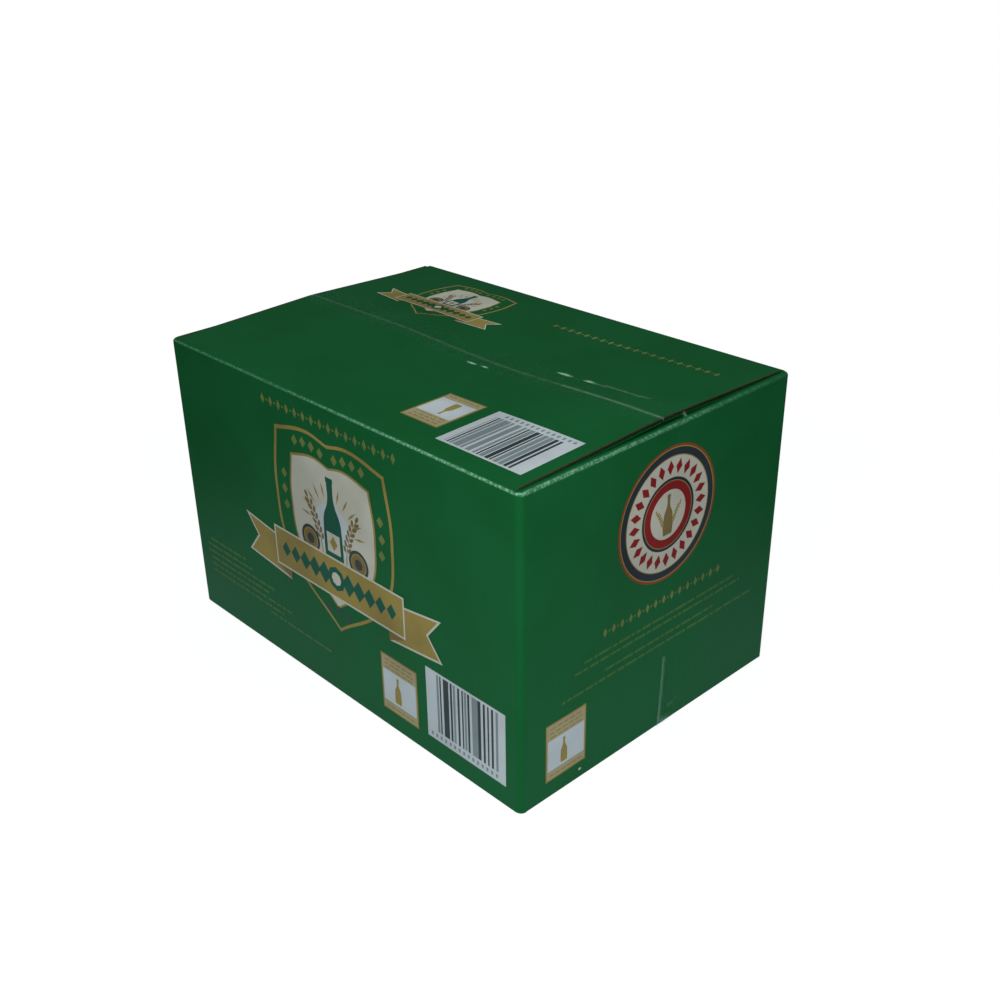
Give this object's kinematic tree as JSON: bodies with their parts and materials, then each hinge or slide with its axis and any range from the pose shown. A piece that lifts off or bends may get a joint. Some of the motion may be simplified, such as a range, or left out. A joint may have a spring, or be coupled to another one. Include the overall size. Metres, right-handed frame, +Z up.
{
  "type": "bottle shipping box",
  "caption": "Sealed corrugated carton for bottles, with long flaps meeting at a taped seam, short flaps folded under them, slotted corners and clear tape turned down at both ends.",
  "frame": {"origin": "on the surface that the box stands on, under the middle of its outline", "axes": "+X along the long sides towards the end that the picture shows, +Y across the box away from the long side that it shows, +Z up"},
  "size_m": [0.3844, 0.266, 0.2425],
  "materials": {
    "printed_board": "satin varnish over green print, worn pale at the folds",
    "clear_tape": "clear gloss film"
  },
  "bodies": {
    "root": {"carton": "printed_board", "top_tape": "clear_tape", "bottom_tape": "clear_tape"}
  },
  "joints": []
}
